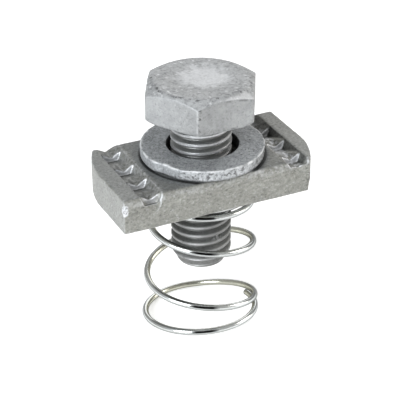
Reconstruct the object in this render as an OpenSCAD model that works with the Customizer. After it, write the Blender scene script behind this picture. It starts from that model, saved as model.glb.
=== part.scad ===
// Channel anchor nut: a hex bolt and flat washer run into a toothed nut
// that a coil spring holds up inside a slotted metal channel.
// The part stands on the spring's foot, with the bolt's axis along Z.

/* [Bolt] */
// Diameter over the thread crests
thread_d = 9.9; // [7.9:0.1:12]
// Length of the shank below the head
bolt_len = 26.8; // [22:0.2:34]
// Width of the head across its flats
head_af = 17; // [14:0.1:19]
// Height of the head
head_h = 5.7; // [4.5:0.05:8]
// Turn of the head's corners about the axis
head_turn = 1; // [0:1:59]
// Diameter of the flat on top of the head
head_flat_d = 15.5; // [13.4:0.1:16.4]
// Slope of the head's corner chamfer
head_chamfer_angle = 30; // [15:1:40]
// Height of the small chamfer under the head's corners
head_foot_chamfer = 0.25; // [0.1:0.05:0.5]
// Diameter of the shallow dish in the top of the head
dish_d = 11.4; // [6:0.1:12.4]
// Depth of the dish
dish_depth = 0.3; // [0.1:0.05:0.8]
// Width of the dish's sloping rim
dish_rim = 1.4; // [0.4:0.1:2.5]
// Height of the chamfer at the bolt's end
tip_chamfer = 1.1; // [0.4:0.1:2]
// Open height between the washer and the head
clamp_gap = 5.7; // [0.5:0.1:12]

/* [Washer] */
// Outside diameter
washer_od = 20.2; // [18.4:0.1:24]
// Thickness
washer_t = 1.9; // [1.2:0.1:3]
// Room round the thread, on each side
washer_clearance = 0.85; // [0.35:0.05:1.5]
// How far the loose washer sits off the axis
washer_shift = 0.27; // [0:0.01:0.3]
// Roll of the washer's sheared edges
washer_edge = 0.2; // [0.05:0.05:0.5]

/* [Nut] */
// Width of the raised middle, between the grooves
boss_w = 21.8; // [20.6:0.1:26]
// Width of each groove at the top
groove_w = 3.9; // [3:0.1:6]
// Width of each end ridge at the top
ridge_w = 2.8; // [1.2:0.05:5]
// Width of the nut along its grooves
nut_w = 18.7; // [15:0.1:20]
// Thickness of the nut
nut_t = 5.8; // [4.6:0.1:9]
// How far the circle that trims the two turning corners stands outside the ends
turn_room = 0.05; // [0.05:0.05:1.5]
// Roll of the long top edges, left by shearing
edge_roll = 1; // [0.3:0.1:1.6]
// Chamfer along the outer edge of each ridge
ridge_chamfer = 0.3; // [0.1:0.05:0.6]
// Depth of the plain V groove
groove_depth = 1.15; // [0.6:0.05:1.8]
// Lead-in round the thread at both faces
bore_chamfer = 0.6; // [0.2:0.1:1.2]
// Room round the thread in the nut, on each side
thread_clearance = 0.05; // [0.02:0.01:0.1]

/* [Teeth] */
// Pitch of the teeth along each groove
tooth_pitch = 5.1; // [2.5:0.1:7]
// Depth of the notch in front of each tooth
notch_depth = 1.7; // [1.2:0.1:2.8]
// Depth at which a notch runs out on the tooth before it
notch_end = 0.15; // [0.1:0.05:0.6]
// How far a notch's side walls stand inside the groove's edges
notch_inset = 0.1; // [0.05:0.05:0.3]
// How far a notch's side walls lean in, top to bottom
notch_lean = 0.75; // [0.3:0.05:1.2]
// How far a tooth's steep face leans forward, top to bottom
tooth_rake = 0.3; // [0.1:0.05:1]
// Place of the first crest in the left groove, from the front
left_crest = 0.85; // [0.4:0.05:2.4]
// Place of the first crest in the right groove, from the front
right_crest = 3; // [0.4:0.05:5]

/* [Spring] */
// Height from the floor to the nut's underside
spring_h = 25.5; // [20:0.5:34]
// Thickness of the wire
wire_d = 1.05; // [0.7:0.05:1.6]
// Coil diameter under the nut, at the middle of the wire
coil_top_d = 15.4; // [14:0.1:18]
// Coil diameter at the foot, at the middle of the wire
coil_foot_d = 18.6; // [16:0.1:19]
// Turns between the closed top turn and the foot
open_turns = 2.5; // [1.75:0.25:4.25]
// Turns of the foot, which lie in one plane
foot_turns = 0.81; // [0.3:0.01:0.9]
// Lean of the foot's plane, low at the back
foot_lean = 8; // [0:0.5:10]
// How far the foot sits off the axis, to the left
foot_shift = 0.15; // [0:0.05:0.4]
// Where the open turns begin, about the axis
coil_phase = 254; // [0:1:359]
// Room between neighbouring closed turns, and above the top one
coil_gap = 0.1; // [0.05:0.05:0.3]
// Turns over which the pitch opens below the top
lead_in = 0.75; // [0.3:0.05:1]
// Turns over which the pitch closes above the foot
lead_out = 0.26; // [0.2:0.02:0.8]

/* [Hidden] */
$fn = 96;
cut = 1;
seat_gap = 0.05;
ring_sides = 10;
rings_per_turn = 32;
galvanised = [0.66, 0.67, 0.68];
galvanised_dark = [0.52, 0.54, 0.56];
bright_zinc = [0.80, 0.81, 0.82];

nut_len = boss_w + 2*groove_w + 2*ridge_w;
nut_z = spring_h;
nut_top = nut_z + nut_t;
bore_r = thread_d/2 + thread_clearance;
washer_z = nut_top + seat_gap;
washer_hole_r = thread_d/2 + washer_clearance;
head_z = washer_z + washer_t + clamp_gap;
tip_z = head_z - bolt_len;
groove_mid = boss_w/2 + groove_w/2;
head_corner_r = head_af/2/cos(30);

// Hexagon block with both ends turned down to a cone, and a dish on top
module bolt_head() {
    corner_drop = (head_corner_r + cut - head_flat_d/2)*tan(head_chamfer_angle);
    foot_r = head_corner_r - head_foot_chamfer/tan(head_chamfer_angle);
    turned = [
        [0, 0],
        [foot_r, 0],
        [head_corner_r + cut, (head_corner_r + cut - foot_r)*tan(head_chamfer_angle)],
        [head_corner_r + cut, head_h - corner_drop],
        [head_flat_d/2, head_h],
        [0, head_h]
    ];
    difference() {
        intersection() {
            rotate(head_turn) cylinder(r = head_corner_r, h = head_h, $fn = 6);
            rotate_extrude() polygon(turned);
        }
        translate([0, 0, head_h - dish_depth])
            cylinder(d1 = dish_d - 2*dish_rim, d2 = dish_d, h = dish_depth);
    }
}

module hex_bolt() {
    tip_r = thread_d/2 - tip_chamfer;
    color(galvanised) {
        translate([0, 0, head_z]) bolt_head();
        translate([0, 0, tip_z + tip_chamfer])
            cylinder(d = thread_d, h = bolt_len - tip_chamfer + dish_depth);
        translate([0, 0, tip_z])
            cylinder(r1 = tip_r, r2 = thread_d/2, h = tip_chamfer);
    }
}

// Sheared ring with its edges rolled, loose on the thread
module flat_washer() {
    outer_r = washer_od/2;
    section = [
        [washer_hole_r, washer_edge],
        [washer_hole_r + washer_edge, 0],
        [outer_r - washer_edge, 0],
        [outer_r, washer_edge],
        [outer_r, washer_t - washer_edge],
        [outer_r - washer_edge, washer_t],
        [washer_hole_r + washer_edge, washer_t],
        [washer_hole_r, washer_t - washer_edge]
    ];
    color(galvanised_dark)
        translate([washer_shift, 0, washer_z])
            rotate_extrude() polygon(section);
}

// Rectangle with two opposite corners trimmed round the bolt's axis,
// so that the nut can be turned across the channel
module nut_plan() {
    intersection() {
        square([nut_len, nut_w], center = true);
        union() {
            circle(nut_len/2 + turn_room);
            for (turn = [0, 180])
                rotate(turn) square([nut_len/2, nut_w/2]);
        }
    }
}

// Rolled long top edge on the front side
module edge_waste() {
    translate([-nut_len/2 - cut, -nut_w/2, nut_t])
        rotate([90, 0, 90])
            linear_extrude(nut_len + 2*cut)
                difference() {
                    translate([-cut, -edge_roll]) square(edge_roll + cut);
                    translate([edge_roll, -edge_roll]) circle(edge_roll);
                }
}

// Chamfer along the outer top edge of the right ridge
module ridge_waste() {
    translate([nut_len/2, nut_w/2 + cut, nut_t])
        rotate([90, 0, 0])
            linear_extrude(nut_w + 2*cut)
                polygon([[-ridge_chamfer, 0], [0, -ridge_chamfer], [cut, cut]]);
}

// Prism along the groove, drawn across it with the groove's middle at zero
module along_groove(points) {
    translate([0, nut_w/2 + cut, nut_t])
        rotate([90, 0, 0])
            linear_extrude(nut_w + 2*cut) polygon(points);
}

// Row of saw-tooth notches, drawn along the groove and carried across it.
// The row ends at the last tooth that stands clear of the rolled back edge.
module notch_row(first_crest) {
    last = floor((nut_w - edge_roll - first_crest)/tooth_pitch);
    translate([-groove_w, 0, nut_t])
        rotate([90, 0, 90])
            linear_extrude(2*groove_w)
                for (i = [-1 : last])
                    translate([-nut_w/2 + first_crest + i*tooth_pitch, 0])
                        polygon([
                            [0, cut],
                            [0, -notch_end],
                            [-tooth_rake, -notch_depth],
                            [-tooth_pitch, -notch_end],
                            [-tooth_pitch, cut]
                        ]);
}

// V groove with saw-tooth notches cut deeper between leaning side walls
module toothed_groove(first_crest) {
    half = groove_w/2;
    rise = cut*half/groove_depth;
    wall = half - notch_inset;
    lean = notch_lean/notch_depth;
    along_groove([[-half - rise, cut], [half + rise, cut], [0, -groove_depth]]);
    intersection() {
        along_groove([
            [-wall - cut*lean, cut],
            [wall + cut*lean, cut],
            [wall - notch_lean, -notch_depth],
            [notch_lean - wall, -notch_depth]
        ]);
        notch_row(first_crest);
    }
}

module nut_bore() {
    flare_r = bore_r + bore_chamfer;
    translate([0, 0, -cut]) cylinder(r = bore_r, h = nut_t + 2*cut);
    cylinder(r1 = flare_r, r2 = bore_r, h = bore_chamfer);
    translate([0, 0, nut_t - bore_chamfer])
        cylinder(r1 = bore_r, r2 = flare_r, h = bore_chamfer);
}

module channel_nut() {
    color(galvanised)
        translate([0, 0, nut_z])
            difference() {
                linear_extrude(nut_t) nut_plan();
                for (turn = [0, 180])
                    rotate(turn) {
                        edge_waste();
                        ridge_waste();
                    }
                translate([-groove_mid, 0, 0]) toothed_groove(left_crest);
                translate([groove_mid, 0, 0]) toothed_groove(right_crest);
                nut_bore();
            }
}

// Point on a cubic curve between a and d
function bend(a, b, c, d, t) =
    a*pow(1 - t, 3) + 3*b*t*pow(1 - t, 2) + 3*c*t*t*(1 - t) + d*pow(t, 3);

// Left-hand coil: a closed turn at the top, open turns, then a foot whose
// plane leans, so that the free spring meets the floor at the back.
// An entry of the path is a count of turns and the wire's height before the
// lean; an entry of the course is an angle, a radius, a height and a shift.
module spring() {
    closed_pitch = wire_d + coil_gap;
    top = spring_h - seat_gap - wire_d/2;
    open_top = top - closed_pitch;
    foot = wire_d/2;
    closed_n = rings_per_turn;
    open_n = ceil(open_turns*rings_per_turn);
    foot_n = ceil(foot_turns*rings_per_turn);
    path = [
        for (i = [0 : closed_n - 1]) [i/closed_n - 1, top - closed_pitch*i/closed_n],
        for (i = [0 : open_n - 1]) [
            bend(0, lead_in, open_turns - lead_out, open_turns, i/open_n),
            bend(open_top, open_top - lead_in*closed_pitch, foot, foot, i/open_n)
        ],
        for (i = [0 : foot_n]) [open_turns + foot_turns*i/foot_n, foot]
    ];
    course = [
        for (spot = path)
            let (
                angle = coil_phase + 360*spot[0],
                widen = min((spot[0] + 1)/(open_turns + 1), 1),
                r = (coil_top_d + (coil_foot_d - coil_top_d)*widen)/2,
                share = min(max(spot[0]/open_turns, 0), 1),
                ease = share*share*(3 - 2*share),
                raise = ease*tan(foot_lean)*(coil_foot_d/2 - r*sin(angle))
            )
            [angle, r, spot[1] + raise, -foot_shift*ease]
    ];
    last = len(course) - 1;
    rings = [
        for (i = [0 : last])
            let (
                here = course[i],
                before = course[max(i - 1, 0)],
                after = course[min(i + 1, last)],
                angle = here[0],
                slope = atan2(after[2] - before[2], here[1]*PI/180*(after[0] - before[0]))
            )
            for (k = [0 : ring_sides - 1])
                let (
                    side = wire_d/2*cos(360*k/ring_sides - 90),
                    lift = wire_d/2*sin(360*k/ring_sides - 90),
                    out = here[1] + side,
                    back = -lift*sin(slope)
                )
                [
                    out*cos(angle) - back*sin(angle) + here[3],
                    out*sin(angle) + back*cos(angle),
                    here[2] + lift*cos(slope)
                ]
    ];
    walls = [
        for (i = [0 : last - 1])
            for (k = [0 : ring_sides - 1])
                let (
                    a = i*ring_sides + k,
                    b = i*ring_sides + (k + 1) % ring_sides,
                    c = a + ring_sides,
                    d = b + ring_sides
                )
                each [[a, b, d], [a, d, c]]
    ];
    start_cap = [for (k = [0 : ring_sides - 1]) ring_sides - 1 - k];
    end_cap = [for (k = [0 : ring_sides - 1]) last*ring_sides + k];
    color(bright_zinc)
        polyhedron(points = rings, faces = concat(walls, [start_cap, end_cap]), convexity = 10);
}

hex_bolt();
flat_washer();
channel_nut();
spring();
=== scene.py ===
import math

import bmesh
import bpy
import numpy as np
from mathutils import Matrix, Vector, noise


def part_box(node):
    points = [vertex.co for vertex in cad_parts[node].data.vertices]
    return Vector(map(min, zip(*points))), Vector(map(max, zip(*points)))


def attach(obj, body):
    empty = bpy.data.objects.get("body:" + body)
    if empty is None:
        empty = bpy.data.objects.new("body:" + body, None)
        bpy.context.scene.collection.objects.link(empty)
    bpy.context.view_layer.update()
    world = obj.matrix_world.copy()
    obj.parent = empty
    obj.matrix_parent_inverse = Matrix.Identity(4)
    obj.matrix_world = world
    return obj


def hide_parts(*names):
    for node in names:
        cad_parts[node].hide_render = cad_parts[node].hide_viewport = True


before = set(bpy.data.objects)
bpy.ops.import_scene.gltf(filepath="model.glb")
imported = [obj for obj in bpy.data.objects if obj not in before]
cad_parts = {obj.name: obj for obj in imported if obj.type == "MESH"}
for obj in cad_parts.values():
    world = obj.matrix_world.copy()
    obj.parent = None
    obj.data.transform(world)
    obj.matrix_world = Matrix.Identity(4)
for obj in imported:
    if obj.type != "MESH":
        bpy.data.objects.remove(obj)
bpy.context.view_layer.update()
scene = bpy.context.scene
mm = 0.001
print("frame loaded:", ", ".join(sorted(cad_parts)))


# Mesh helpers. Points are in millimetres until makePiece.

def makePiece(name, points, faces, node, body):
    mesh = bpy.data.meshes.new(name)
    mesh.from_pydata((np.asarray(points)*mm).tolist(), [], faces)
    shell = bmesh.new()
    shell.from_mesh(mesh)
    bmesh.ops.remove_doubles(shell, verts=shell.verts, dist=0.0005*mm)
    bmesh.ops.dissolve_degenerate(shell, edges=shell.edges, dist=0.0005*mm)
    bmesh.ops.recalc_face_normals(shell, faces=shell.faces)
    shell.to_mesh(mesh)
    shell.free()
    return placePiece(name, mesh, node, body)


def placePiece(name, mesh, node, body):
    mesh.shade_smooth()
    piece = bpy.data.objects.new(name, mesh)
    scene.collection.objects.link(piece)
    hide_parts(node)
    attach(piece, body)
    return piece


def readVerts(mesh, what):
    values = np.empty(len(mesh.vertices)*3)
    mesh.vertices.foreach_get(what, values)
    return values.reshape(-1, 3)


def movePoints(mesh, points):
    mesh.vertices.foreach_set("co", np.asarray(points, np.float32).ravel())
    mesh.update()


def paint(mesh, name, values):
    layer = mesh.attributes.new(name, "FLOAT", "POINT")
    layer.data.foreach_set("value", np.asarray(values, np.float32))


def lumps(points, size, seed, octaves=3):
    start = Vector((1.7*seed, 2.3*seed, 3.1*seed))
    return np.array([noise.fractal(Vector(p)/size + start, 1.0, 2.0, octaves) for p in points])


def step(low, high, values):
    t = np.clip((values - low)/(high - low), 0, 1)
    return t*t*(3 - 2*t)


def sinkLumps(mesh, layers, share=1.0):
    points = readVerts(mesh, "co")
    depth = sum(amount*np.clip(0.5 - 0.5*lumps(points/mm, size, seed), 0, 1)
                for size, amount, seed in layers)
    movePoints(mesh, points - readVerts(mesh, "normal")*(depth*share)[:, None]*mm)


def ringFaces(rows, columns, shift=0):
    # shift joins the seam to a later row, for a grid whose rows climb a helix
    faces = []
    for i in range(rows - 1):
        for j in range(columns):
            up = shift if j == columns - 1 else 0
            if i + 1 + up < rows:
                a = i*columns + j
                b = (i + up)*columns + (j + 1) % columns
                faces.append((a, b, b + columns, a + columns))
    return faces


def softRows(corners, softness, fills, steps=5):
    # Rows of points along a path of corners, each corner eased over its softness
    rows = [corners[0]]
    for k in range(1, len(corners)):
        before = rows[-1]
        corner = corners[k]
        if k == len(corners) - 1:
            ease = [corner]
        else:
            towards = []
            for other in (corners[k - 1], corners[k + 1]):
                arm = other - corner
                length = np.maximum(np.linalg.norm(arm, axis=-1, keepdims=True), 1e-6)
                towards.append(corner + arm*np.minimum(softness[k]/length, 0.48))
            ease = [towards[0]*(1 - t)**2 + corner*2*t*(1 - t) + towards[1]*t*t
                    for t in np.linspace(0, 1, steps)]
        for t in np.linspace(0, 1, fills[k - 1] + 2)[1:-1]:
            rows.append(before + (ease[0] - before)*t)
        rows.extend(ease)
    return np.array(rows)


# Finishes

def addNode(tree, kind, inputs=None, **settings):
    node = tree.nodes.new(kind)
    for key, value in settings.items():
        setattr(node, key, value)
    for key, value in (inputs or {}).items():
        if isinstance(value, bpy.types.NodeSocket):
            tree.links.new(value, node.inputs[key])
        else:
            node.inputs[key].default_value = value
    return node


def ramp(tree, value, *stops):
    node = addNode(tree, "ShaderNodeValToRGB", {"Fac": value})
    points = node.color_ramp.elements
    while len(points) < len(stops):
        points.new(0.5)
    for point, (place, colour) in zip(points, stops):
        point.position = place
        point.color = (*colour, 1) if isinstance(colour, tuple) else (colour, colour, colour, 1)
    return node.outputs["Color"]


def mixColour(tree, how, share, first, second):
    node = addNode(tree, "ShaderNodeMix", data_type="RGBA", blend_type=how, clamp_factor=True)
    for place, value in ((0, share), (6, first), (7, second)):
        if isinstance(value, bpy.types.NodeSocket):
            tree.links.new(value, node.inputs[place])
        else:
            node.inputs[place].default_value = value
    return node.outputs[2]


def scaleRange(tree, value, low, high):
    node = addNode(tree, "ShaderNodeMapRange", {"Value": value, "To Min": low, "To Max": high})
    return node.outputs["Result"]


def vertexValue(tree, name):
    return addNode(tree, "ShaderNodeAttribute", attribute_name=name).outputs["Fac"]


def noiseValue(tree, where, scale, detail=3.0, rough=0.55, stretch=(1, 1, 1)):
    moved = addNode(tree, "ShaderNodeMapping", {"Vector": where, "Scale": stretch})
    return addNode(tree, "ShaderNodeTexNoise", {
        "Vector": moved.outputs["Vector"], "Scale": scale, "Detail": detail, "Roughness": rough,
    }).outputs["Fac"]


def galvanised(name, look):
    # Hot-dip zinc: cloudy patches, fine mottle, dark pits and pale flecks. The painted values add to it:
    # dull darkens it (a duller finish and painted shade), torn pits the surface, wear pales it (wear and
    # painted highlights), grime blackens it (dirt and painted shade) and bare makes it shine
    finish = bpy.data.materials.new(name)
    finish.use_nodes = True
    tree = finish.node_tree
    shader = tree.nodes["Principled BSDF"]
    where = addNode(tree, "ShaderNodeTexCoord").outputs["Object"]
    patches = noiseValue(tree, where, look["patchScale"], 5.0, 0.62)
    mottle = noiseValue(tree, where, look["mottleScale"], 3.0, 0.6, look["mottleStretch"])
    pits = noiseValue(tree, where, look["pitScale"], 2.0, 0.5)
    flecks = noiseValue(tree, where, look["fleckScale"], 2.0, 0.6)
    grey = ramp(tree, patches, (0.32, look["dark"]), (0.68, look["light"]))
    mottleTone = ramp(tree, mottle, (0.32, 1 - look["mottleDepth"]), (0.68, 1.0))
    grey = mixColour(tree, "MULTIPLY", 1.0, grey, mottleTone)
    pitTone = ramp(tree, pits, (0.29, 1 - look["pitDepth"]), (0.41, 1.0))
    grey = mixColour(tree, "MULTIPLY", 1.0, grey, pitTone)
    tears = noiseValue(tree, where, look["tornScale"], 3.0, 0.6)
    tornTone = ramp(tree, tears, (0.38, look["tornTone"]), (0.5, 1.0))
    grey = mixColour(tree, "MULTIPLY", vertexValue(tree, "torn"), grey, tornTone)
    fleckShare = ramp(tree, flecks, (0.58, 0.0), (0.74, look["fleckShare"]))
    grey = mixColour(tree, "MIX", fleckShare, grey, (*look["wornAndHighlight"], 1))
    grey = mixColour(tree, "MULTIPLY", vertexValue(tree, "dullAndShade"), grey, (*look["dullAndShade"], 1))
    broken = scaleRange(tree, mottle, 0.3, 1.7)
    # the wear layer mixes in the pale colour, for wear and painted highlights; the grime layer multiplies in
    # near black, for dirt and painted shade
    for layer, how, colour in (("wearAndHighlight", "MIX", look["wornAndHighlight"]), ("grimeAndShade", "MULTIPLY", (0.1, 0.1, 0.1))):
        share = addNode(tree, "ShaderNodeMath", {0: vertexValue(tree, layer), 1: broken},
                        operation="MULTIPLY", use_clamp=True).outputs["Value"]
        grey = mixColour(tree, how, share, grey, (*colour, 1))
    tree.links.new(grey, shader.inputs["Base Color"])
    rough = scaleRange(tree, patches, look["rough"][0], look["rough"][1])
    bare = vertexValue(tree, "bare")
    rough = addNode(tree, "ShaderNodeMath", {0: bare, 1: -look["bareShine"], 2: rough},
                    operation="MULTIPLY_ADD")
    tree.links.new(rough.outputs["Value"], shader.inputs["Roughness"])
    tree.links.new(scaleRange(tree, bare, look["metal"], 1.0), shader.inputs["Metallic"])
    grain = addNode(tree, "ShaderNodeMath", {0: pits, 1: 0.7, 2: mottle}, operation="MULTIPLY_ADD")
    bump = addNode(tree, "ShaderNodeBump", {
        "Height": grain.outputs["Value"], "Strength": look["bump"], "Distance": 0.12*mm,
    })
    tree.links.new(bump.outputs["Normal"], shader.inputs["Normal"])
    return finish


# Bolt: hexagon head with a turned top, and a full-length coarse thread

bolt = {
    "acrossFlats": 17.0,
    "headHeight": 5.7,
    "headTurn": 1.0,          # degrees
    "cornerRound": 0.25,
    "flatRadius": 7.75,       # of the plain ring on top
    "topSlope": 30.0,         # degrees
    "dishRadius": 5.7,
    "dishFloor": 4.3,
    "dishDepth": 0.3,
    "footChamfer": 0.14,
    "headColumns": 360,
    "crest": 4.95,            # radius over the thread
    "pitch": 1.5,
    "threadDepth": 0.86,
    "threadTurn": 0.88,       # part of a turn
    "tipFill": 2.6,           # length at the end where zinc half fills the thread
    "runOut": 1.1,
    "tipChamfer": 1.1,
    "threadColumns": 120,
    "rowsPerTurn": 18,
    "tipRings": (3.6, 2.4, 1.2, 0.0),     # radii that close the end
    "brightTop": (0.7, 0.9),  # middle of the painted bright patch of light on top
    "nearCorner": 240.0,      # degrees, before headTurn: the corner towards the photograph's viewer
    "scuffTurn": 280.0,       # degrees, middle of the scuffed crest
    "scuffRise": 5.8,         # above the tip
    "highlightTurn": 234.0,      # degrees, middle of the painted highlight on the crests
    "zinc": {
        "patchScale": 420, "mottleScale": 2300, "mottleStretch": (1, 1, 1), "mottleDepth": 0.12,
        "pitScale": 2900, "pitDepth": 0.25, "fleckScale": 1100, "fleckShare": 0.15, "tornScale": 1700,
        "tornTone": 0.25,
        "dark": (0.54, 0.55, 0.565), "light": (0.69, 0.70, 0.715), "dullAndShade": (0.335, 0.333, 0.317),
        "wornAndHighlight": (0.76, 0.765, 0.78), "bareShine": 0.3, "rough": (0.52, 0.66), "metal": 0.45, "bump": 0.6,
    },
}
boltLow, boltHigh = (np.array(v)/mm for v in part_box("hex_bolt"))


def hexRadius(angles):
    # Distance from the axis to a hexagon whose corners are rounded
    flat = bolt["acrossFlats"]/2
    turned = np.degrees(angles) - bolt["headTurn"]
    fromFlat = np.radians(np.abs((turned + 60) % 60 - 30))
    inner = flat - bolt["cornerRound"]
    reach = inner/math.cos(math.pi/6)
    fromCorner = math.pi/6 - fromFlat
    inside = np.maximum(bolt["cornerRound"]**2 - (reach*np.sin(fromCorner))**2, 0)
    rounded = reach*np.cos(fromCorner) + np.sqrt(inside)
    onFlat = flat*np.tan(fromFlat) < inner*math.tan(math.pi/6)
    return np.where(onFlat, flat/np.cos(fromFlat), rounded)


def headRows():
    angles = np.arange(bolt["headColumns"])*2*math.pi/bolt["headColumns"]
    outer = hexRadius(angles)
    slope = math.tan(math.radians(bolt["topSlope"]))
    height = bolt["headHeight"]
    foot = bolt["footChamfer"] + 0.6*np.maximum(outer - bolt["acrossFlats"]/2 - 0.6, 0)
    same = np.ones_like(outer)
    outline = [
        (0*same, (height - bolt["dishDepth"])*same),
        (bolt["dishFloor"]*same, (height - bolt["dishDepth"])*same),
        (bolt["dishRadius"]*same, height*same),
        (bolt["flatRadius"]*same, height*same),
        (outer, height - (outer - bolt["flatRadius"])*slope),
        (outer, foot),
        (outer - foot, 0*same),
        (bolt["crest"]*same, 0*same),
    ]
    corners = [np.stack(pair, axis=-1) for pair in outline]
    rows = softRows(corners, (0, 0.9, 0.9, 0.4, 0.25, 0.15, 0.15, 0), (16, 3, 6, 4, 16, 1, 10))
    x = rows[..., 0]*np.cos(angles)
    y = rows[..., 0]*np.sin(angles)
    z = rows[..., 1] + boltHigh[2] - height
    return np.stack((x, y, z), axis=-1)


def threadRows(headFoot):
    columns = bolt["threadColumns"]
    perTurn = bolt["rowsPerTurn"]
    turns = np.arange(columns)/columns
    tip = boltLow[2]
    count = math.ceil((headFoot - tip)/bolt["pitch"] + 2)*perTurn
    climb = (np.arange(count)[:, None]/perTurn + turns - 1)*bolt["pitch"]
    z = np.clip(tip + climb, tip, headFoot)
    phase = (np.arange(count)[:, None]/perTurn + bolt["threadTurn"]) % 1.0
    wave = 1 - np.abs(2*phase - 1)
    flank = np.clip((wave - 0.18)/0.52, 0, 1)
    tooth = 0.5*flank + 0.5*flank*flank*(3 - 2*flank)
    fade = step(0.25*bolt["runOut"], bolt["runOut"], headFoot - z)
    fade = fade*(0.5 + 0.5*step(bolt["tipFill"] - 0.8, bolt["tipFill"] + 0.8, z - tip))
    radius = bolt["crest"] - bolt["threadDepth"]*fade*(1 - tooth)
    cone = bolt["crest"] - bolt["tipChamfer"] + 0.55*(z - tip) - 0.2*(1 - tooth)*step(0.1, 0.5, z - tip)
    edge = 0.12
    blend = np.clip(0.5 + 0.5*(cone - radius)/edge, 0, 1)
    radius = cone*(1 - blend) + radius*blend - edge*blend*(1 - blend)
    angle = turns*2*math.pi
    return np.stack((radius*np.cos(angle), radius*np.sin(angle), z), axis=-1)


def buildBolt():
    head = headRows()
    headFoot = boltHigh[2] - bolt["headHeight"]
    thread = threadRows(headFoot)
    wide = bolt["headColumns"]
    narrow = bolt["threadColumns"]
    share = wide//narrow
    faces = ringFaces(len(head), wide)
    first = len(head)*wide
    faces += [tuple(first + k for k in face)
              for face in ringFaces(len(thread), narrow, bolt["rowsPerTurn"])]
    top = first + (len(thread) - 1)*narrow
    rim = (len(head) - 1)*wide
    for k in range(narrow):     # underside of the head, in to the thread
        a, b = top + k, top + (k + 1) % narrow
        outer = [rim + (k*share + n) % wide for n in range(share + 1)]
        faces.append((a, b, outer[-1]))
        faces += [(a, outer[n + 1], outer[n]) for n in range(share)]
    points = np.concatenate((head.reshape(-1, 3), thread.reshape(-1, 3)))
    tip = boltLow[2]
    angle = np.arange(narrow)*2*math.pi/narrow
    ends = []
    for radius in bolt["tipRings"]:
        ends.append(np.stack((radius*np.cos(angle), radius*np.sin(angle), 0*angle + tip), axis=-1))
    base = len(points)
    points = np.concatenate((points, np.concatenate(ends)))
    faces += [tuple(base + k for k in face) for face in ringFaces(len(ends), narrow)]
    faces += [(first + k, first + (k + 1) % narrow, base + (k + 1) % narrow, base + k) for k in range(narrow)]
    piece = makePiece("boltWithThread", points, faces, "hex_bolt", "bolt")
    mesh = piece.data
    places = readVerts(mesh, "co")/mm
    x, y, z = places.T
    normals = readVerts(mesh, "normal")
    onHead = step(headFoot - 0.05, headFoot + 0.05, z)
    sinkLumps(mesh, ((3.2, 0.03, 1), (0.9, 0.02, 2)), 0.25 + 0.75*onHead)
    radius = np.hypot(x, y)
    root = np.clip((bolt["crest"] - radius)/bolt["threadDepth"], 0, 1)*(1 - onHead)
    onSide = onHead*step(0.8, 0.4, np.abs(normals[:, 2]))
    onTop = onHead*(1 - onSide)
    onTip = step(bolt["tipFill"] + 0.5, bolt["tipFill"] - 0.5, z - tip)
    below = step(1.0, -1.0, z - (boltLow[2] + boltHigh[2])/2)
    grain = lumps(places, 0.9, 21)
    turned = np.degrees(np.arctan2(y, x)) % 360
    brightX, brightY = bolt["brightTop"]
    # painted light: a bright patch on the dish, off its middle
    inDish = onTop*step(5.0, 2.3, np.hypot(x - brightX, y - brightY) + 1.3*grain)
    fromCorner = turned - bolt["nearCorner"] - bolt["headTurn"]
    # painted highlight: a pale line down the corner that faces the viewer
    edge = onHead*np.exp(-(fromCorner/1.1)**2)*onSide
    rim = onTop*np.exp(-((radius - bolt["flatRadius"] - 0.1)/0.25)**2)
    # a painted highlight along the brow of the chamfer on the right, and painted shade just under its edge
    reach = step(262, 280, turned + 8*grain)*step(304, 300, turned)
    browHighlight = onHead*reach*step(7.9, 8.5, radius + 0.3*grain)*step(0.35, 0.6, normals[:, 2])
    flatTop = boltHigh[2] - (radius - bolt["flatRadius"])*math.tan(math.radians(bolt["topSlope"]))
    shadeUnderBrow = onHead*reach*np.exp(-((z - flatTop + 0.2)/0.12)**2)*step(0.0, 0.3, grain + 0.25)
    right = step(240, 252, turned)*step(304, 300, turned)
    nearCorner = step(205, 232, turned + 6*grain)*step(300, 262, turned + 6*grain)
    # painted shade: the flats darker than the top, and the top's ring darker round the painted bright patch;
    # the thread darker overall, more in its roots (painted shade) and on its lower part
    paint(mesh, "dullAndShade", np.clip(onSide*(0.58 + 0.1*nearCorner) + 0.34*onTop*(1 - inDish)
                                + (1 - onHead)*(0.74 + 0.2*root + 0.19*below - 0.05*onTip), 0, 1))
    specks = step(0.1, 0.25, lumps(places, 0.5, 24))
    scuff = (1 - onHead)*np.exp(-((turned - bolt["scuffTurn"])/14)**2
                                  - ((z - tip - bolt["scuffRise"])/0.55)**2)
    paint(mesh, "torn", np.clip(0.4*onTop*(1 - 0.3*inDish) + 0.9*scuff + 0.35*(1 - onHead)*onTip
                                + onSide*(0.06 + 0.08*right) + 0.7*edge
                                + 0.9*rim*step(-0.1, 0.3, grain), 0, 1))
    pimples = onTop*(1 - inDish)*step(0.42, 0.6, lumps(places, 0.7, 23))
    # crest wear and a painted highlight along the crests, the highlight brightest on one side of the thread
    highlightSide = np.exp(-((turned - bolt["highlightTurn"])/17)**2)
    phase = ((z - tip)/bolt["pitch"] - turned/360 + bolt["threadTurn"]) % 1.0
    crestLine = (1 - onHead)*step(0.7, 0.95, 1 - np.abs(2*phase - 1))
    crestWearAndHighlight = crestLine*(0.75 + below*(0.5*highlightSide - 0.66) + 0.3*onTip*highlightSide)
    paint(mesh, "wearAndHighlight", np.clip(crestWearAndHighlight + 0.42*inDish + 0.28*edge + 0.6*browHighlight + 0.7*pimples
                                + 0.55*scuff*specks, 0, 1))
    besideEdge = onSide*np.exp(-((fromCorner - 2)/1.2)**2)
    headFootLine = onSide*step(headFoot + 0.7, headFoot + 0.2, z + 0.25*grain)*(0.4 + 0.6*right)
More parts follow.
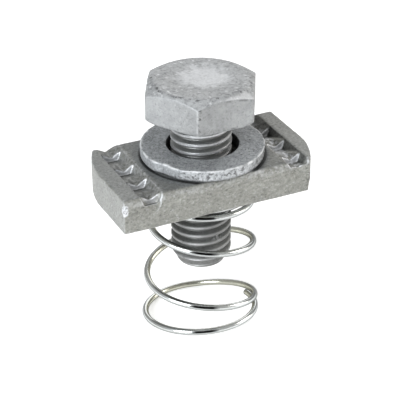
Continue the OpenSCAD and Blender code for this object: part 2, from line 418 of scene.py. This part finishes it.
    # painted shade: a dark line on the left edge of the top ring, and a shadow crescent at the dish's front
    # edge
    leftRimShade = rim*step(145, 165, turned)*step(228, 208, turned)*step(-0.45, 0.1, grain)
    dishShadow = onTop*np.exp(-((radius - 4.6)/0.35)**2)*step(200, 225, turned)*step(310, 280, turned)
    paint(mesh, "grimeAndShade", np.clip(0.5*shadeUnderBrow + 0.9*(besideEdge + 0.4*rim*step(0.1, 0.3, grain))*specks
                                 + 0.5*headFootLine*specks + 0.12*dishShadow + 0.4*leftRimShade, 0, 1))
    paint(mesh, "bare", (1 - onHead)*(0.6 - 0.3*below)*(1 - 0.7*onTip))
    piece.data.materials.append(galvanised("zincOnBolt", bolt["zinc"]))
    print("bolt:", len(mesh.polygons), "faces")


# Washer: sheared ring, rolled over at the top edge and torn along its rim

washer = {
    "outer": 10.1,
    "hole": 5.8,
    "shift": 0.27,            # along x, loose on the thread
    "topRoll": 0.32,
    "footRoll": 0.42,
    "dentTurns": (194.5, 203.5, 209.0, 222.0),     # degrees: start, full from, full to, end
    "dentDepth": 0.45,
    "cleanShear": (140, 165, 204, 234),   # degrees where the shear cut cleanly, in the same order
    "columns": 360,
    "zinc": {
        "patchScale": 420, "mottleScale": 2700, "mottleStretch": (1, 1, 1), "mottleDepth": 0.4,
        "pitScale": 3300, "pitDepth": 0.75, "fleckScale": 2300, "fleckShare": 0.5, "tornScale": 2000,
        "tornTone": 0.06,
        "dark": (0.405, 0.421, 0.437), "light": (0.54, 0.556, 0.572), "dullAndShade": (0.60, 0.615, 0.62),
        "wornAndHighlight": (0.70, 0.71, 0.72), "bareShine": 0.25, "rough": (0.48, 0.6), "metal": 0.45, "bump": 0.65,
    },
}
washerLow, washerHigh = (np.array(v)/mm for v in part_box("flat_washer"))


def rimDent(turned):
    return washer["dentDepth"]*np.interp(turned, washer["dentTurns"], (0, 1, 1, 0))


def buildWasher():
    columns = washer["columns"]
    angle = np.arange(columns)*2*math.pi/columns
    same = np.ones_like(angle)
    foot, top = washerLow[2], washerHigh[2]
    middle = (washer["hole"] + washer["outer"])/2
    outline = [(middle, foot), (washer["outer"], foot), (washer["outer"], top), (washer["hole"], top),
               (washer["hole"], foot), (middle, foot)]
    corners = [np.stack((r*same, z*same), axis=-1) for r, z in outline]
    rows = softRows(corners, (0, washer["footRoll"], washer["topRoll"], 0.25, 0.2, 0), (3, 12, 12, 6, 3))
    reach = rows[..., 0] - rimDent(np.degrees(angle))*step(7.5, 9.6, rows[..., 0])
    points = np.stack((reach*np.cos(angle) + washer["shift"], reach*np.sin(angle), rows[..., 1]), axis=-1)
    piece = makePiece("shearedWasher", points.reshape(-1, 3), ringFaces(len(rows), columns),
                      "flat_washer", "washer")
    mesh = piece.data
    places = readVerts(mesh, "co")/mm
    x, y, z = places.T
    turned = np.degrees(np.arctan2(y, x - washer["shift"])) % 360
    radius = np.hypot(x - washer["shift"], y) + rimDent(turned)
    rim = step(washer["outer"] - 0.25, washer["outer"] - 0.03, radius)
    up = (z - foot)/(top - foot)
    start, wholeFrom, wholeTo, end = washer["cleanShear"]
    smooth = step(start, wholeFrom, turned)*step(end, wholeTo, turned)
    tornTop = 0.88 - 1.1*smooth
    torn = rim*step(tornTop + 0.12, tornTop - 0.06, up)
    sinkLumps(mesh, ((2.6, 0.04, 5), (0.8, 0.02, 6)))
    sinkLumps(mesh, ((0.75, 0.16, 7), (3.5, 0.12, 8)), torn)
    wobble = 0.1*lumps(places, 1.1, 25)
    # across the photograph's view and towards its viewer
    aside = 0.9*x - 0.44*y
    near = np.maximum(-0.44*x - 0.9*y, 0)
    # painted highlight: a pale line along the rolled top edge of the rim
    lip = (step(washer["outer"] - 0.38, washer["outer"] - 0.2, radius + wobble)
           * step(washer["outer"] + 0.05, washer["outer"] - 0.05, radius + wobble)*step(0.72, 0.9, up))
    lip = lip*step(-0.5, 0.3, lumps(places, 1.5, 28))
    # the top is dull, and painted light lifts it towards the viewer and to the right
    paint(mesh, "dullAndShade", (1 - rim)*np.clip(0.78 - 0.023*aside - 0.07*near, 0, 1))
    paint(mesh, "wearAndHighlight", np.clip(lip + 0.2*torn + 0.15*rim*smooth, 0, 1))
    paint(mesh, "torn", np.clip(torn + 0.25*(1 - rim), 0, 1))
    # painted shade: dark along the foot of the rim, where the washer sits on the nut, and round the hole
    holeShade = step(washer["hole"] + 0.15, washer["hole"] + 0.03, radius)
    paint(mesh, "grimeAndShade", np.clip(0.6*rim*step(0.15, 0.02, up) + 0.85*holeShade, 0, 1))
    piece.data.materials.append(galvanised("zincOnWasher", washer["zinc"]))
    print("washer:", len(mesh.polygons), "faces")


# Nut: the frame's own toothed block, with its edges softened by zinc

nut = {
    "voxel": 0.15,
    "smoothing": 3,
    "wearReach": 2,
    "spoutX": (-12.6, 12.7),  # where the grooves run out over the front edge
    "spoutDrop": 1.7,
    "spoutDepth": 0.5,
    "chipDrop": 1.7,          # bright chip on the near left upright edge
    "curl": (-12.9, 1.5, 1.6),    # burr round the left groove's mouth: x, drop and radius
    "endTaper": 0.55,         # break under the sheared right end
    "taperHeight": 2.4,
    "cornerRound": 0.45,
    "grooveInner": 10.6,
    "grooveOuter": 14.9,
    "grooveDepth": 2.2,
    "zinc": {
        "patchScale": 330, "mottleScale": 2500, "mottleStretch": (0.75, 1.0, 1.1), "mottleDepth": 0.36,
        "pitScale": 3100, "pitDepth": 0.5, "fleckScale": 1700, "fleckShare": 0.25, "tornScale": 1900,
        "tornTone": 0.25,
        "dark": (0.296, 0.295, 0.269), "light": (0.386, 0.385, 0.353), "dullAndShade": (0.58, 0.605, 0.655),
        "wornAndHighlight": (0.71, 0.72, 0.745), "bareShine": 0.25, "rough": (0.5, 0.62), "metal": 0.45, "bump": 0.6,
    },
}


def ridgeness(mesh, spread):
    # Above zero along outside edges, below zero in inside corners
    places = readVerts(mesh, "co")/mm
    pairs = np.empty(len(mesh.edges)*2, int)
    mesh.edges.foreach_get("vertices", pairs)
    pairs = pairs.reshape(-1, 2)

    def neighbourMean(values):
        total = np.zeros_like(values)
        count = np.zeros(len(values))
        for here, there in ((0, 1), (1, 0)):
            np.add.at(total, pairs[:, here], values[pairs[:, there]])
            np.add.at(count, pairs[:, here], 1)
        return total/np.maximum(count, 1).reshape((-1,) + (1,)*(values.ndim - 1))

    bend = -((neighbourMean(places) - places)*readVerts(mesh, "normal")).sum(axis=1)
    for _ in range(spread):
        bend = 0.5*bend + 0.5*neighbourMean(bend)
    return bend


def buildNut():
    block = bpy.data.objects.new("block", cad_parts["channel_nut"].data.copy())
    scene.collection.objects.link(block)
    remesh = block.modifiers.new("softBlock", "REMESH")
    remesh.mode = "VOXEL"
    remesh.voxel_size = nut["voxel"]*mm
    solid = block.evaluated_get(bpy.context.evaluated_depsgraph_get())
    mesh = bpy.data.meshes.new_from_object(solid)
    bpy.data.objects.remove(block)
    shell = bmesh.new()
    shell.from_mesh(mesh)
    for _ in range(nut["smoothing"]):
        bmesh.ops.smooth_vert(shell, verts=shell.verts, factor=0.5, use_axis_x=True, use_axis_y=True,
                              use_axis_z=True)
    shell.to_mesh(mesh)
    shell.free()
    mesh.name = "toothedNut"
    piece = placePiece("toothedNut", mesh, "channel_nut", "nut")
    low, high = (np.array(v)/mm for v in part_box("channel_nut"))
    places = readVerts(mesh, "co")/mm
    x, y, z = places.T
    spout = np.zeros(len(places))
    for mouthX in nut["spoutX"]:
        spout += np.exp(-((x - mouthX)/1.25)**2 - ((z - high[2] + nut["spoutDrop"])/0.95)**2)
    spout *= step(low[1] + 1.6, low[1] + 0.6, y)
    curlX, curlDrop, curlRadius = nut["curl"]
    fromCurl = np.stack((x - curlX, z - high[2] + curlDrop), axis=-1)
    around = np.degrees(np.arctan2(fromCurl[:, 1], fromCurl[:, 0]))
    curl = (np.exp(-((np.hypot(fromCurl[:, 0], fromCurl[:, 1]) - curlRadius)/0.13)**2)
            * step(-78, -58, around)*step(60, 40, around)*step(low[1] + 1.2, low[1] + 0.7, y))
    spout *= 1 - 0.45*curl
    fromFoot = z - low[2]
    fromEnd = x - high[0]
    taper = (nut["endTaper"]*step(nut["taperHeight"], 0.3, fromFoot)*np.clip((fromEnd + 4.0)/3.0, 0, 1)
             + nut["cornerRound"]*step(0.7, 0, fromFoot)*np.clip((fromEnd + 2.5)/1.5, 0, 1)**2)
    movePoints(mesh, (places + np.stack((-taper, nut["spoutDepth"]*spout, -0.25*spout), axis=-1))*mm)
    bend = ridgeness(mesh, nut["wearReach"])
    sinkLumps(mesh, ((3.5, 0.06, 11), (1.0, 0.025, 12)))
    places = readVerts(mesh, "co")/mm
    x, y, z = places.T
    normals = readVerts(mesh, "normal")
    top = step(0.75, 0.95, normals[:, 2])
    across = np.abs(x)
    inGroove = (step(nut["grooveInner"] - 0.3, nut["grooveInner"] + 0.2, across)
                * step(nut["grooveOuter"] + 0.2, nut["grooveOuter"] - 0.3, across)
                * step(high[2] - nut["grooveDepth"] - 0.3, high[2] - nut["grooveDepth"], z))
    inside = step(low[1] + 0.7, low[1] + 1.3, y)
    frontLip = inGroove*(1 - inside)
    inGroove = inGroove*inside
    # painted shade in a ring round the washer's edge
    shadeUnderWasher = step(1.3, 0.2, np.abs(np.hypot(x, y) - washer["outer"]))
    left = step(6.0, -6.0, x)
    chip = np.exp(-((x - low[0])/0.7)**2 - ((y - low[1])/0.7)**2
                  - ((z - high[2] + nut["chipDrop"])/0.9)**2)
    chip = step(0.25, 0.45, chip + 0.3*lumps(places, 0.6, 26)*step(0.02, 0.1, chip))
    # painted shade on the grooves' outer walls, which face in
    shadedOuterWall = inGroove*step(0.3, 0.7, -np.sign(x)*normals[:, 0])
    # painted light: groove faces turned towards the front are paled
    facing = inGroove*step(0.3, 0.7, -normals[:, 1])
    # painted shade deep in the grooves
    deepShade = inGroove*step(high[2] - 0.8, high[2] - 1.7, z)
    fromWasher = np.hypot(x - washer["shift"], y) - washer["outer"]
    # painted contact shadow in a thin ring under the washer's rim; painted shade where the nut shows through
    # the washer's hole
    contactShadow = top*step(0.4, 0.12, np.abs(fromWasher))
    holeShade = step(washer["hole"] + 0.8, washer["hole"] + 0.3, fromWasher + washer["outer"])
    grain = lumps(places, 0.8, 29)
    onFront = step(0.6, 0.9, -normals[:, 1])
    # painted light: a paler band across the front face below its rolled top edge
    litFrontTop = onFront*step(high[2] - 1.7, high[2] - 0.7, z + 0.3*grain)
    # painted shade in the hollow of the left groove's mouth
    mouth = onFront*np.exp(-((x - curlX + 0.1)/0.7)**2 - ((z - high[2] + 1.45)/0.3)**2)
    rightSide = step(14.0, 14.7, x)*onFront
    rightFloor = (inGroove*step(0, 1, x)*step(14.1, 13.3, x)
                  * step(high[2] - 0.5, high[2] - 1.0, z))
    outerRidge = step(nut["grooveOuter"] - 0.2, nut["grooveOuter"] + 0.3, across)
    atEnd = step(0.6, 0.9, np.abs(normals[:, 0]))*(1 - inGroove)
    # painted shade at the back of the right groove, under the head
    backRightShade = inGroove*step(0, 1, x)*step(1.0, 4.0, y)
    alongFront = step(1.0, 5.0, x)*step(11.4, 10.4, x)
    # painted highlight along the front top edge, between the right groove and the washer
    frontEdgeHighlight = alongFront*np.exp(-((y - low[1] - 0.2)/0.35)**2 - ((z - high[2] + 0.2)/0.35)**2)
    # painted shade in a line just behind that edge
    shadeBehindEdge = alongFront*top*np.exp(-((y - low[1] - 0.95)/0.3)**2)
    # painted shade: the top darker than the front, more so on the left and most under the washer's edge, less
    # in the grooves and on the outer ridges
    topDullAndShade = np.clip(0.45 + 0.3*left + 0.8*shadeUnderWasher - 0.4*inGroove - 0.24*outerRidge, 0, 1)
    # the end faces and the groove walls are darkened a little too, as painted shade by face direction
    paint(mesh, "dullAndShade", top*topDullAndShade + 0.2*atEnd + 0.25*inGroove*(1 - top))
    # edge wear with painted glints: paler along outside edges, most in the grooves, their front lips and
    # spouts
    edgeWearAndGlints = (step(0.004, 0.022, bend)
              * (0.3 + 0.2*grain + 0.75*inGroove + 0.7*frontLip + 0.3*np.clip(spout, 0, 1)))
    leftFlecks = inGroove*left*step(-0.35, 0.35, lumps(places, 0.5, 31))
    floorFlecks = rightFloor*step(-0.2, 0.2, lumps(places, 0.7, 30))
    # curl puts a painted highlight on the burr, and the end faces get a little painted light
    paint(mesh, "wearAndHighlight", np.clip(edgeWearAndGlints + 0.65*facing + chip + 0.12*atEnd + 0.11*top*outerRidge
                                + 0.4*frontEdgeHighlight*step(-0.5, 0.3, grain) + 0.2*leftFlecks + 0.2*curl
                                + 0.22*litFrontTop*step(-0.4, 0.4, grain) + 0.7*floorFlecks, 0, 1))
    # painted shade in the grooves' hollows: outer walls, deep parts and the back of the right groove, kept
    # off outside edges
    hollowShade = 0.5*shadedOuterWall + (0.5 - 0.08*left)*deepShade*(1 - facing)*(1 - rightFloor) + 0.4*backRightShade
    paint(mesh, "grimeAndShade", np.clip(hollowShade*(1 - step(0.0, 0.02, bend)) + contactShadow + 0.9*holeShade + 0.35*mouth
                                 + 0.3*shadeBehindEdge*step(-0.4, 0.3, grain)
                                 + 0.8*chip*step(0.2, 0.4, lumps(places, 0.35, 27)), 0, 1))
    paint(mesh, "bare", np.clip(0.3*inGroove + 0.4*chip, 0, 1))
    paint(mesh, "torn", np.clip(0.12 + 0.4*inGroove + 0.7*rightSide, 0, 1))
    mesh.materials.clear()
    mesh.materials.append(galvanised("zincOnNut", nut["zinc"]))
    print("nut:", len(mesh.polygons), "faces")


# Spring: left-hand coil of bright plated wire, closed under the nut, with a leaning foot

spring = {
    "wire": 1.05,
    "topAcross": 15.4,
    "footAcross": 18.6,
    "openTurns": 2.5,
    "footTurns": 0.81,
    "footLean": 8.0,          # degrees
    "footShift": 0.15,
    "startTurn": 254.0,       # degrees
    "gap": 0.1,               # between closed turns
    "leadIn": 0.75,
    "leadOut": 0.26,
    "ringsPerTurn": 96,
    "sides": 32,
    "darkReflectionTurn": 247.0,      # degrees, middle of the painted dark reflection on the wire
    "darkReflectionReach": 12.0,
    "outsideColours": ((0.78, 0.80, 0.785), (0.85, 0.875, 0.87)),
    "shadedInsideColours": ((0.64, 0.635, 0.53), (0.72, 0.715, 0.62)),      # painted shade: darker and yellower inside the coil
    "darkReflectionTone": 0.015,
    "rough": (0.14, 0.26),
    "edgeTone": 0.2,          # dark towards the wire's edges
}
springLow, springHigh = (np.array(v)/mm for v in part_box("spring"))


def easedRun(a, b, c, d, t):
    return a*(1 - t)**3 + 3*b*t*(1 - t)**2 + 3*c*t*t*(1 - t) + d*t**3


def springPath():
    # Angle and place of the wire's middle, from the closed top turn down to the foot
    pitch = spring["wire"] + spring["gap"]
    top = springHigh[2] - spring["wire"]/2
    foot = springLow[2] + spring["wire"]/2
    opened = top - pitch
    turns = spring["openTurns"]
    perTurn = spring["ringsPerTurn"]
    closed = np.arange(perTurn)/perTurn
    t = np.linspace(0, 1, round(turns*perTurn), endpoint=False)
    flat = np.linspace(0, spring["footTurns"], round(spring["footTurns"]*perTurn))
    count = np.concatenate((closed - 1,
                            easedRun(0, spring["leadIn"], turns - spring["leadOut"], turns, t),
                            turns + flat))
    height = np.concatenate((top - pitch*closed,
                             easedRun(opened, opened - spring["leadIn"]*pitch, foot, foot, t),
                             0*flat + foot))
    angle = np.radians(spring["startTurn"] + 360*count)
    widen = np.minimum((count + 1)/(turns + 1), 1)
    radius = (spring["topAcross"] + (spring["footAcross"] - spring["topAcross"])*widen)/2
    ease = step(0, turns, count)
    lean = math.tan(math.radians(spring["footLean"]))
    height = height + ease*lean*(spring["footAcross"]/2 - radius*np.sin(angle))
    x = radius*np.cos(angle) - spring["footShift"]*ease
    return angle, np.stack((x, radius*np.sin(angle), height), axis=-1)


def buildSpring():
    angle, middle = springPath()
    along = np.gradient(middle, axis=0)
    along /= np.linalg.norm(along, axis=1, keepdims=True)
    outward = np.stack((np.cos(angle), np.sin(angle), 0*angle), axis=-1)
    lift = np.cross(along, outward)
    lift /= np.linalg.norm(lift, axis=1, keepdims=True)
    outward = np.cross(lift, along)
    side = np.arange(spring["sides"])*2*math.pi/spring["sides"]
    around = outward[:, None]*np.cos(side)[:, None] + lift[:, None]*np.sin(side)[:, None]
    rings = middle[:, None] + around*(spring["wire"]/2)
    ends = []
    for k, way in ((0, -1), (-1, 1)):       # cut ends, broken at the edge
        ends.append([middle[k] + around[k]*(spring["wire"]/2*size) + way*along[k]*push
                     for size, push in ((0.9, 0.04), (0.55, 0.06), (0.0, 0.06))])
    rows = np.concatenate((np.array(ends[0][::-1]), rings, np.array(ends[1])))
    piece = makePiece("wireSpring", rows.reshape(-1, 3), ringFaces(len(rows), spring["sides"]),
                      "spring", "nut")
    mesh = piece.data
    places = readVerts(mesh, "co")/mm
    normals = readVerts(mesh, "normal")
    turned = np.degrees(np.arctan2(places[:, 1], places[:, 0])) % 360
    rise = np.degrees(np.arcsin(np.clip(normals[:, 2], -1, 1)))
    facingOut = (normals[:, :2]*places[:, :2]).sum(axis=1)/np.hypot(places[:, 0], places[:, 1])
    outside = facingOut > 0
    # painted shade: the inside of the coil takes the darker, yellower colours
    paint(mesh, "inner", step(0.1, -0.5, facingOut))
    # painted reflections: a dark band on the front of each turn and a dark top edge; painted shade on the
    # wire's underside
    aside = np.abs(turned - spring["darkReflectionTurn"])/spring["darkReflectionReach"]
    darkReflection = outside*step(1.3, 0.8, aside)*step(2, 9, rise)*step(54, 46, rise)
    topEdgeReflection = step(46, 66, rise)*(0.15 + 0.55*step(180, 192, turned)*step(244, 228, turned))
    paint(mesh, "darkReflection", np.maximum(np.maximum(darkReflection, topEdgeReflection), 0.4*step(16, 0, rise)))
    mesh.materials.append(platedWire())
    print("spring:", len(mesh.polygons), "faces")


def platedWire():
    finish = bpy.data.materials.new("brightPlatedWire")
    finish.use_nodes = True
    tree = finish.node_tree
    shader = tree.nodes["Principled BSDF"]
    where = addNode(tree, "ShaderNodeTexCoord").outputs["Object"]
    tint = noiseValue(tree, where, 140, 2.0)
    fine = noiseValue(tree, where, 2600, 3.0, 0.6, (1, 1, 4))
    colour, shadedYellow = (ramp(tree, tint, (0.35, spring[side][0]), (0.65, spring[side][1]))
                      for side in ("outsideColours", "shadedInsideColours"))
    colour = mixColour(tree, "MIX", vertexValue(tree, "inner"), colour, shadedYellow)
    colour = mixColour(tree, "MULTIPLY", 1.0, colour, ramp(tree, fine, (0.3, 0.9), (0.5, 1.0)))
    # the painted dark reflections and underside shade darken the colour here
    darkReflectionColour = (*(spring["darkReflectionTone"],)*3, 1)
    colour = mixColour(tree, "MULTIPLY", vertexValue(tree, "darkReflection"), colour, darkReflectionColour)
    tree.links.new(colour, shader.inputs["Base Color"])
    tree.links.new(scaleRange(tree, fine, *spring["rough"]), shader.inputs["Roughness"])
    shader.inputs["Specular Tint"].default_value = (*(spring["edgeTone"],)*3, 1)
    shader.inputs["Metallic"].default_value = 1.0
    bump = addNode(tree, "ShaderNodeBump", {"Height": fine, "Strength": 0.05, "Distance": 0.03*mm})
    tree.links.new(bump.outputs["Normal"], shader.inputs["Normal"])
    return finish


buildBolt()
buildWasher()
buildNut()
buildSpring()


# Studio: pale floor, soft lights and the photograph's camera

studio = {
    "floorSize": 4.0,         # metres
    "floorColour": (0.94, 0.94, 0.94),
    "floorGlow": 0.34,
    "brightSide": (-0.80, -0.45, 0.40),
    "skyFar": (0.22, 0.22, 0.22),
    "skyMiddle": (0.40, 0.40, 0.39),
    "skyNear": (0.46, 0.47, 0.48),
    "darkSide": (-0.43, -0.90, 0.08),
    "darkEdge": (0.86, 0.93),     # cosines from the dark side's middle
    "darkLevel": 0.03,
    "lensLength": 137.6,
    "sensor": 36.0,
    "turn": -25.98,           # degrees
    "rise": 29.5,
    "distance": 0.25,
    "aim": (-0.150, 0.073, 22.643),
    "lightAim": (0, 0, 0.025),
    "lights": (               # name, place, size, power and tint
        ("keyLight", (-0.48, -0.26, 0.30), (0.35, 0.35), 3.6, (0.93, 0.97, 1.0)),
        ("rightLight", (0.55, -0.15, 0.25), (0.35, 0.35), 1.5, (1.0, 0.97, 0.92)),
        ("backLight", (0.28, 0.48, 0.28), (0.40, 0.30), 0.6, (1, 1, 1)),
        ("stripLight", (-0.16, -0.32, 0.52), (0.50, 0.12), 0.5, (1, 1, 1)),
    ),
}


def buildFloor():
    half = studio["floorSize"]/2
    mesh = bpy.data.meshes.new("paleFloor")
    corners = [(-half, -half, 0), (half, -half, 0), (half, half, 0), (-half, half, 0)]
    mesh.from_pydata(corners, [], [(0, 1, 2, 3)])
    floor = bpy.data.objects.new("paleFloor", mesh)
    scene.collection.objects.link(floor)
    finish = bpy.data.materials.new("palePaper")
    finish.use_nodes = True
    shader = finish.node_tree.nodes["Principled BSDF"]
    shader.inputs["Base Color"].default_value = (*studio["floorColour"], 1)
    shader.inputs["Roughness"].default_value = 0.9
    shader.inputs["Specular IOR Level"].default_value = 0.0
    shader.inputs["Emission Color"].default_value = (1, 1, 1, 1)
    shader.inputs["Emission Strength"].default_value = studio["floorGlow"]
    mesh.materials.append(finish)


def addLight(name, place, size, power, tint):
    data = bpy.data.lights.new(name, "AREA")
    data.shape = "RECTANGLE"
    data.size, data.size_y = size
    data.energy = power
    data.color = tint
    light = bpy.data.objects.new(name, data)
    light.location = place
    light.rotation_euler = (Vector(studio["lightAim"]) - Vector(place)).to_track_quat("-Z", "Y").to_euler()
    scene.collection.objects.link(light)


def buildSky():
    sky = bpy.data.worlds.new("softRoom")
    scene.world = sky
    sky.use_nodes = True
    tree = sky.node_tree
    where = addNode(tree, "ShaderNodeTexCoord").outputs["Generated"]

    def towards(side):
        toUnit = Vector(studio[side]).normalized()
        dot = addNode(tree, "ShaderNodeVectorMath", {0: where, 1: toUnit}, operation="DOT_PRODUCT")
        return dot.outputs["Value"]

    across = scaleRange(tree, towards("brightSide"), 0.0, 1.0)
    across.node.inputs["From Min"].default_value = -1.0
    shade = ramp(tree, across, (0.0, studio["skyFar"]), (0.5, studio["skyMiddle"]), (1.0, studio["skyNear"]))
    low, high = studio["darkEdge"]
    opening = ramp(tree, towards("darkSide"), (low, 1.0), (high, studio["darkLevel"]))
    shade = mixColour(tree, "MULTIPLY", 1.0, shade, opening)
    tree.links.new(shade, tree.nodes["Background"].inputs["Color"])


def buildCamera():
    turn, rise = math.radians(studio["turn"]), math.radians(studio["rise"])
    back = Vector((math.sin(turn)*math.cos(rise), -math.cos(turn)*math.cos(rise), math.sin(rise)))
    data = bpy.data.cameras.new("photoCamera")
    data.lens = studio["lensLength"]
    data.sensor_width = studio["sensor"]
    data.clip_start = 0.005
    camera = bpy.data.objects.new("photoCamera", data)
    camera.location = Vector(studio["aim"])*mm + back*studio["distance"]
    camera.rotation_euler = (-back).to_track_quat("-Z", "Y").to_euler()
    scene.collection.objects.link(camera)
    scene.camera = camera


buildFloor()
buildSky()
buildCamera()
for light in studio["lights"]:
    addLight(*light)
scene.view_settings.view_transform = "Standard"
print("studio ready")
